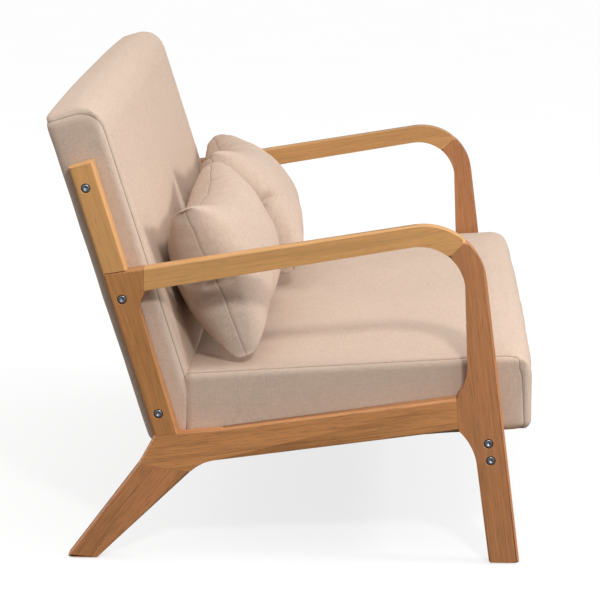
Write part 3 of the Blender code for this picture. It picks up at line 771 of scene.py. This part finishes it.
def crown_rise(distance, reach):
    """0 at the edge of a crowned face, 1 from `reach` inwards, steep at first."""
    return max(1 - (1 - min(distance / reach, 1.0)) ** 2.5, 0.0)


def soft_noise(point, scale, seed):
    return noise.noise(Vector(point) * scale + Vector((seed, 2.3 * seed, 5.1 * seed)))


def sew(obj, seam_distance, amplitude, seed):
    """Pull the seam in, puff the panels up, pucker them beside it, and store the distance to it."""
    mesh = obj.data
    stored = mesh.attributes.new(SEAM, "FLOAT", "POINT")
    normals = [v.normal.copy() for v in mesh.vertices]
    for vertex, normal in zip(mesh.vertices, normals):
        point = vertex.co.copy()
        distance = seam_distance(point)
        near = abs(distance)
        pucker = 0.0006 * soft_noise(point, 110, seed) * math.exp(-near / 0.012)
        soft = amplitude * soft_noise(point, 7.5, seed) * smooth_step(near, 0.0, 0.06)
        drag = 0.4 * amplitude * soft_noise(point, 22, seed + 1) * smooth_step(near, 0.0, 0.04)
        vertex.co += normal * (pucker + soft + drag + puff(near, 0.0010, 0.006) - groove(near))
        stored.data[vertex.index].value = distance


def seat_point(x, y, h):
    """The point h above the seat's sloping underside."""
    return (x, y, SEAT_UNDER_Z - SEAT_SLOPE * y + h)


def back_point(x, v, w):
    """The point v up the back and w out from its rear face, where the back is skewed from end to end."""
    across = x / CUSHION_HALF
    v += BACK_RISE * across * v / BACK_LENGTH
    w *= 1 - BACK_TAPER * across
    sin, cos = math.sin(BACK_ANGLE), math.cos(BACK_ANGLE)
    return (x, BACK_FOOT[0] + v * sin - w * cos, BACK_FOOT[1] + v * cos + w * sin)


SEAT_FRAME = PLACE @ Matrix.Translation((0, 0, SEAT_UNDER_Z)) @ Matrix.Rotation(-SEAT_TILT, 4, "X")
BACK_FRAME = PLACE @ Matrix.Translation((0, *BACK_FOOT)) @ Matrix.Rotation(-BACK_ANGLE, 4, "X")


def seat_profile():
    """(inset, height) rows from the rim under the seat, up the side and over the edge onto the top."""
    top = SEAT_HEIGHT
    rows = [(0.012, 0.0)] + arc(0.012, 0.014, 0.012, 0.014, 270, 180, 6)[1:]
    rows += [(0.0, h) for h in spaced(0.014, top - 0.018, 0.012)[1:]]
    rows += arc(0.013, top - 0.014, 0.013, 0.014, 180, 90, 12)
    rows += [(d, top) for d in (0.0165, 0.021, 0.0275)]
    return rows


def build_seat_cover():
    loops = []
    half_y = (SEAT_REAR_Y - SEAT_FRONT_Y) / 2
    centre_y = (SEAT_REAR_Y + SEAT_FRONT_Y) / 2
    crown = 0.012
    nose_radius = 0.040
    bulge = 0.007

    def lift(x, y):
        rise_x = crown_rise(CUSHION_HALF - abs(x) - 0.010, 0.25)
        rise_y = crown_rise(half_y - abs(y - centre_y) - 0.010, 0.22)
        return crown * rise_x * rise_y

    for d, h in seat_profile():
        radius = max(0.016 - d, 0.003)
        loop = rectangle_loop(CUSHION_HALF - d, SEAT_FRONT_Y + d, SEAT_REAR_Y - d, radius, radius)
        loops.append([(x, y, h + (lift(x, y) if d > 0.010 and h > 0.02 else 0.0)) for x, y in loop])

    def place(x, y, h):
        """Round the front edge over more than the others, and let the front face bulge."""
        a, b = nose_radius - (y - SEAT_FRONT_Y), nose_radius - (SEAT_HEIGHT - h)
        reach = math.hypot(a, b)
        if a > 0 and b > 0 and reach > nose_radius:
            y = SEAT_FRONT_Y + nose_radius - a * nose_radius / reach
            h = SEAT_HEIGHT - nose_radius + b * nose_radius / reach
        near_front = 1 - smooth_step(y, SEAT_FRONT_Y, SEAT_FRONT_Y + 0.15)
        half_wave = math.sin(math.pi * min(max(h / SEAT_HEIGHT, 0.0), 1.0))
        y -= bulge * near_front * (1 - abs(x / CUSHION_HALF) ** 3) * half_wave
        return seat_point(x, y, h)

    bm = skin(loops, place, lambda x, y: SEAT_HEIGHT + lift(x, y))
    bmesh.ops.transform(bm, matrix=SEAT_FRAME.inverted() @ PLACE, verts=bm.verts)
    obj = new_piece("seat_cover_piece", bm, LINEN_SEAT, SEAT_FRAME, replaces=["seat_cover"])
    tilt = math.hypot(1, SEAT_SLOPE)

    def distance(p):
        """To the seam round each side panel: along its top, over the front corner and down the front."""
        x, y, h = p.x, p.y / tilt, p.z * tilt
        inward = CUSHION_HALF - abs(x)
        from_top = SEAT_HEIGHT - h
        from_end = y - SEAT_FRONT_Y
        a, b = nose_radius - from_end, nose_radius - from_top
        edge = nose_radius - math.hypot(a, b) if a > 0 and b > 0 else min(from_top, from_end)
        upright = smooth_step(from_top - from_end, -0.012, 0.012)
        return (edge - inward + 0.0047 - 0.0147 * upright) / math.sqrt(2)

    sew(obj, distance, 0.0022, 3)
    foam_base = 0.0455
    lining(obj, "seat_foam_piece", FOAM, "seat_foam", ((0, 0, foam_base / tilt), (0, 0, 1)))
    finish_cover(obj)


def back_low_edge(w, margin=0.0005):
    """Lowest v of the back at depth w, where the seat's rear face cuts it off."""
    sin, cos = math.sin(BACK_ANGLE), math.cos(BACK_ANGLE)
    return max(BACK_LOWEST, (SEAT_REAR_Y + margin - BACK_FOOT[0] + w * cos) / sin)


def back_profile():
    """(inset, depth) rows from the rim behind, along the side and over the edge onto the front."""
    rows = [(0.012, 0.0)] + arc(0.012, 0.012, 0.012, 0.012, 270, 180, 6)[1:]
    rows += [(0.0, w) for w in spaced(0.012, 0.070, 0.010)[1:]]
    rows += arc(0.020, BACK_FRONT - 0.018, 0.020, 0.018, 180, 90, 14)
    rows += [(d, BACK_FRONT) for d in (0.024, 0.030)]
    return rows


def back_loop(d, w):
    """One (x, v) loop of the back at inset d and depth w, with the arched top."""
    top_radius, low_radius = max(0.026 - d, 0.004), 0.003
    low, high = back_low_edge(min(w, BACK_DEPTH - 0.016)) + d, BACK_LENGTH - d
    loop = []
    for x, v in rectangle_loop(CUSHION_HALF - d, low, high, low_radius, top_radius):
        share = max(0.0, (v - low) / (high - low)) ** 4
        loop.append((x, v + BACK_ARCH * share * (1 - abs(x / (CUSHION_HALF - d)) ** 3)))
    return loop


def build_back_cover():
    loops = []
    crown = 0.004

    def lift(x, v):
        return crown * crown_rise(CUSHION_HALF - abs(x) - 0.020, 0.22) * crown_rise(BACK_LENGTH - v, 0.20)

    for d, w in back_profile():
        loops.append([(x, v, w + (lift(x, v) if d > 0.015 else 0.0)) for x, v in back_loop(d, w)])

    def place(x, v, w):
        """Round the front of the top edge over more than the sides."""
        top = BACK_LENGTH + BACK_ARCH * (1 - min(abs(x) / CUSHION_HALF, 1.0) ** 3)
        a, b = 1 + (v - top) / BACK_TOP_ROUNDING[0], 1 + (w - BACK_FRONT) / BACK_TOP_ROUNDING[1]
        reach = math.hypot(a, b)
        if a > 0 and b > 0 and reach > 1:
            v = top + (a / reach - 1) * BACK_TOP_ROUNDING[0]
            w = BACK_FRONT + (b / reach - 1) * BACK_TOP_ROUNDING[1]
        return back_point(x, v, w)

    bm = skin(loops, place, lambda x, v: BACK_FRONT + lift(x, v))
    bmesh.ops.transform(bm, matrix=BACK_FRAME.inverted() @ PLACE, verts=bm.verts)
    obj = new_piece("back_cover_piece", bm, LINEN_BACK, BACK_FRAME, replaces=["back_cover"])
    seam_depth, seam_height, seam_radius = 0.0865, 0.581, 0.040

    def distance(p):
        """To the seam round each side panel: up its front edge and back along its top."""
        across = p.x / CUSHION_HALF
        v, w = p.z / (1 + BACK_RISE * across / BACK_LENGTH), -p.y / (1 - BACK_TAPER * across)
        a = v - (seam_height - seam_radius)
        b = w - (seam_depth - seam_radius)
        return math.hypot(max(a, 0.0), max(b, 0.0)) + min(max(a, b), 0.0) - seam_radius

    sew(obj, distance, 0.0016, 8)
    foam_base = 0.0562
    lining(obj, "back_foam_piece", FOAM, "back_foam", ((0, -foam_base, 0), (0, -1, 0)))
    finish_cover(obj)


def build_back_outer_panel():
    """The fabric that closes the rear of the back, turned in and stitched blind to the cover."""
    rows = [(0.0135, 0.0030), (0.0135, 0.0014), (0.0140, 0.0004), (0.0155, -0.0004), (0.0190, -0.0009),
            (0.0250, -0.0013), (0.0330, -0.0016)]
    loops = [[(x, v, w) for x, v in back_loop(d, 0.0)] for d, w in rows]

    def sag(x, v):
        near = min(CUSHION_HALF - abs(x), v, BACK_LENGTH - v)
        return -0.0016 - 0.0014 * smooth_step(near, 0.03, 0.16)

    bm = skin(loops, back_point, sag)
    bmesh.ops.transform(bm, matrix=BACK_FRAME.inverted() @ PLACE, verts=bm.verts)
    obj = new_piece("back_outer_panel_piece", bm, LINEN_BACK, BACK_FRAME,
                    replaces=["back_outer_panel"])

    def distance(p):
        """To the seam round the panel, 4 mm outside its edge."""
        inward = min(CUSHION_HALF - abs(p.x), p.z, BACK_LENGTH - p.z) - 0.0135
        return inward + 0.004

    sew(obj, distance, 0.0010, 5)
    finish_cover(obj, 0.0010)


# ---------------- stuffed pillows


def flat_pillow():
    """Two flat sheets joined along their edge, a little apart inside; flat_u and flat_v run from -1 to 1."""
    columns, rows = SHEET_GRID
    bm = bmesh.new()
    layer_u = bm.verts.layers.float.new("flat_u")
    layer_v = bm.verts.layers.float.new("flat_v")
    rim = {}
    for bulge in (-SHEET_GAP, SHEET_GAP):
        grid = []
        for j in range(rows + 1):
            line = []
            for i in range(columns + 1):
                u, v = 2 * i / columns - 1, 2 * j / rows - 1
                on_rim = i in (0, columns) or j in (0, rows)
                if on_rim and (i, j) in rim:
                    line.append(rim[(i, j)])
                    continue
                apart = 0 if on_rim else bulge * (1 - u * u) * (1 - v * v)
                vert = bm.verts.new((SHEET_LENGTH / 2 * u, apart, SHEET_HEIGHT / 2 * v))
                vert[layer_u], vert[layer_v] = u, v
                if on_rim:
                    rim[(i, j)] = vert
                line.append(vert)
            grid.append(line)
        for j in range(rows):
            for i in range(columns):
                bm.faces.new((grid[j][i], grid[j][i + 1], grid[j + 1][i + 1], grid[j + 1][i]))
    return bm


def stuff(obj, pressure=30.0, frames=30):
    """Blow the flat pillow up with a cloth simulation and keep the result."""
    cloth = obj.modifiers.new("cloth", "CLOTH")
    settings = cloth.settings
    settings.quality = 6
    settings.mass = 0.05
    settings.tension_stiffness = 25
    settings.compression_stiffness = 25
    settings.shear_stiffness = 8
    settings.bending_stiffness = 0.35
    settings.use_pressure = True
    settings.uniform_pressure_force = pressure
    settings.effector_weights.gravity = 0
    cloth.collision_settings.use_collision = False
    scene = bpy.context.scene
    scene.frame_start, scene.frame_end = 1, frames
    cloth.point_cache.frame_start, cloth.point_cache.frame_end = 1, frames
    for number in range(1, frames + 1):
        scene.frame_set(number)
    apply_modifiers(obj)
    scene.frame_set(1)


def fit_pillow(obj, droop):
    """Bring the simulated pillow to its stuffed size, round its edges and let the filling settle."""
    points = np.array([v.co for v in obj.data.vertices])
    middle = (points.max(0) + points.min(0)) / 2
    points = (points - middle) * 2 / (points.max(0) - points.min(0))
    full = np.sign(points[:, 1]) * np.abs(points[:, 1]) ** 0.77
    points[:, 1] = full * (1 - 0.02 * points[:, 2])
    u, v = points[:, 0].copy(), np.clip(points[:, 2], 0.0, 1.0)
    points *= np.array([PILLOW_LENGTH, PILLOW_DEPTH, PILLOW_HEIGHT]) / 2
    points[:, 2] -= np.where(u < 0, droop[0], droop[1]) * np.abs(u) ** 4 * v * v
    obj.data.vertices.foreach_set("co", points.astype(np.float32).ravel())


def crease_pillow(obj, seed):
    """Wavy seams, puckers along them and folds that run in from the corners; stores the seam distance."""
    mesh = obj.data
    flat_u = [d.value for d in mesh.attributes["flat_u"].data]
    flat_v = [d.value for d in mesh.attributes["flat_v"].data]
    stored = mesh.attributes.new(SEAM, "FLOAT", "POINT")
    fold_height, pucker_height, soft_height = 0.0028, 0.0016, 0.0030
    normals = [v.normal.copy() for v in mesh.vertices]
    for vertex, normal, u, v in zip(mesh.vertices, normals, flat_u, flat_v):
        from_end = PILLOW_LENGTH / 2 * (1 - abs(u))
        from_edge = PILLOW_HEIGHT / 2 * (1 - abs(v))
        near = min(from_end, from_edge)
        corner = math.hypot(from_end, from_edge)
        along = math.copysign(from_edge, v) if from_end < from_edge else math.copysign(from_end, u)
        face = math.copysign(1.0, vertex.co.y)
        phase = seed + (1.7 if from_end < from_edge else 0.0)
        swing = (0.0014 + 0.0020 * math.exp(-corner / 0.055)) * math.exp(-near / 0.022)
        wave = swing * noise.noise(Vector((along * 34, phase, seed)))
        turn = math.atan2(from_edge, from_end)
        fan = Vector((turn * 4.5, seed + face, math.copysign(3, u) + math.copysign(7, v)))
        fold = math.exp(-corner / 0.075) * smooth_step(near, 0.0, 0.02)
        fold *= fold_height * noise.noise(fan)
        ripple = noise.noise(Vector((along * 75, face + seed, near * 12)))
        pucker = pucker_height * math.exp(-near / 0.020) * ripple
        soft = soft_height * soft_noise(vertex.co, 13, seed) * smooth_step(near, 0.0, 0.06)
        vertex.co += normal * (fold + pucker * smooth_step(near, 0.0, 0.006) + soft)
        vertex.co.y += wave
        stored.data[vertex.index].value = near
    for name in ("flat_u", "flat_v"):
        mesh.attributes.remove(mesh.attributes[name])


def filling(cover):
    """A copy of the cover's mesh, without its seam distances, to shape what fills it."""
    bm = bmesh.new()
    bm.from_mesh(cover.data)
    bm.verts.layers.float.remove(bm.verts.layers.float[SEAM])
    return bm


def lining(cover, name, material, node, cut, distance=0.0028):
    """The foam in a sewn cover: the cover's surface moved inwards, cut off square at a plane and closed."""
    bm = filling(cover)
    bmesh.ops.recalc_face_normals(bm, faces=bm.faces)
    moves = [(v, -v.normal * distance) for v in bm.verts]
    for vert, move in moves:
        vert.co += move
    bmesh.ops.bisect_plane(bm, geom=bm.verts[:] + bm.edges[:] + bm.faces[:], plane_co=cut[0], plane_no=cut[1],
                           clear_inner=True)
    bmesh.ops.holes_fill(bm, edges=[e for e in bm.edges if e.is_boundary])
    obj = new_piece(name, bm, material, cover.matrix_world.copy(), replaces=[node])
    obj.data.transform(PLACE.inverted() @ obj.matrix_world)
    obj.matrix_world = PLACE


def insert(cover, name, material, body, node):
    """The fibre-filled inner pillow: the cover's shape, a little smaller all round."""
    bm = filling(cover)
    bmesh.ops.scale(bm, vec=(0.965, 0.955, 0.955), verts=bm.verts)
    obj = new_piece(name, bm, material, cover.matrix_world.copy(), body, [node])


def build_pillow(side_name):
    place, lean, roll, yaw = PILLOWS[side_name]
    turn = Matrix.Rotation(math.radians(yaw), 4, "Z") @ Matrix.Rotation(math.radians(roll), 4, "Y")
    own = PLACE @ Matrix.Translation(place) @ turn @ Matrix.Rotation(-math.radians(lean), 4, "X")
    body = f"{side_name}_pillow"
    obj = new_piece(f"{body}_cover_piece", flat_pillow(), LINEN_PILLOW, Matrix.Identity(4), body=None)
    stuff(obj)
    fit_pillow(obj, PILLOW_DROOP[side_name])
    smooth = obj.modifiers.new("smooth", "SUBSURF")
    smooth.levels = smooth.render_levels = 1
    apply_modifiers(obj)
    crease_pillow(obj, SIDES[side_name] * 4.3 + 9.1)
    obj.matrix_world = own
    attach(obj, body)
    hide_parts(f"{body}_cover")
    insert(obj, f"{body}_insert_piece", FIBRE, body, f"{body}_insert")


# ---------------- floor and light

# the world's strength from below and at the horizon, and what is added overhead and in front
FLOOR_LIGHT = 0.05
WALL_LIGHT = 0.16
CEILING_LIGHT = 0.92
FRONT_LIGHT = 0.42
# place, size and power of each soft box
LIGHTS = {"key": ((-0.86, -3.57, 2.45), 0.7, 66.0), "side": ((-3.33, -0.95, 2.78), 0.4, 58.0),
          "rear": ((0.30, 4.00, 1.60), 1.5, 45.0)}
LIGHTS_AIM = Vector((0, 0, 0.4))
FLOOR_TONES = (0.235, 0.245)
FLOOR_GLOW = 0.76


def build_world():
    """A bright ceiling, a dimmer front and a dark floor line: soft light that falls mostly from above."""
    world = bpy.data.worlds.new("studio")
    bpy.context.scene.world = world
    world.use_nodes = True
    tree = world.node_tree

    def node(kind, operation=None, *values):
        made = tree.nodes.new(kind)
        if operation:
            made.operation = operation
        for socket, value in zip(made.inputs, values):
            if isinstance(value, bpy.types.NodeSocket):
                tree.links.new(value, socket)
            else:
                socket.default_value = value
        return made

    direction = node("ShaderNodeTexCoord").outputs["Generated"]
    parts = node("ShaderNodeSeparateXYZ", None, direction).outputs
    up = node("ShaderNodeMath", "MAXIMUM", parts["Z"], 0.0).outputs[0]
    toward_front = node("ShaderNodeMath", "MULTIPLY", parts["Y"], -1.0).outputs[0]
    front = node("ShaderNodeMath", "MAXIMUM", toward_front, 0.0).outputs[0]
    above = node("ShaderNodeMath", "GREATER_THAN", parts["Z"], 0.0).outputs[0]
    level = node("ShaderNodeMath", "MULTIPLY_ADD", above, WALL_LIGHT - FLOOR_LIGHT, FLOOR_LIGHT).outputs[0]
    ceiling = node("ShaderNodeMath", "MULTIPLY_ADD", up, CEILING_LIGHT, level).outputs[0]
    strength = node("ShaderNodeMath", "MULTIPLY_ADD", front, FRONT_LIGHT, ceiling).outputs[0]
    background = tree.nodes["Background"]
    background.inputs["Color"].default_value = (1.0, 1.0, 1.0, 1.0)
    tree.links.new(strength, background.inputs["Strength"])


def build_studio():
    """A grey floor that glows so much that it looks white, the world's light and the soft boxes."""
    floor = bmesh.new()
    bmesh.ops.create_grid(floor, x_segments=8, y_segments=8, size=30)
    shader = Shader("floor_paint", 0.8, specular=0.1)
    paint = shader.noise(shader.place(), 3, 2)
    dark, light = ((tone,) * 3 for tone in FLOOR_TONES)
    paint_color = shader.ramp(paint, (0.3, dark), (0.7, light))
    shader.surface.inputs["Emission Color"].default_value = (1.0, 1.0, 1.0, 1.0)
    shader.surface.inputs["Emission Strength"].default_value = FLOOR_GLOW
    floor = new_piece("studio_floor", floor, shader.finish(paint_color), Matrix.Identity(4), body=None)
    floor.visible_diffuse = False
    floor.visible_glossy = False
    build_world()
    for name, (location, size, power) in LIGHTS.items():
        data = bpy.data.lights.new(name, "AREA")
        data.size = size
        data.energy = power
        light = bpy.data.objects.new(name, data)
        light.location = location
        aim = LIGHTS_AIM - Vector(location)
        light.rotation_euler = aim.to_track_quat("-Z", "Y").to_euler()
        bpy.context.scene.collection.objects.link(light)
    bpy.context.scene.view_settings.view_transform = "Standard"


build_studio()
build_side_frame("right")
build_side_frame("left")
build_front_stretcher()
build_seat_cover()
build_back_cover()
build_back_outer_panel()
finish_cad_nodes()
build_pillow("right")
build_pillow("left")

bpy.context.view_layer.update()
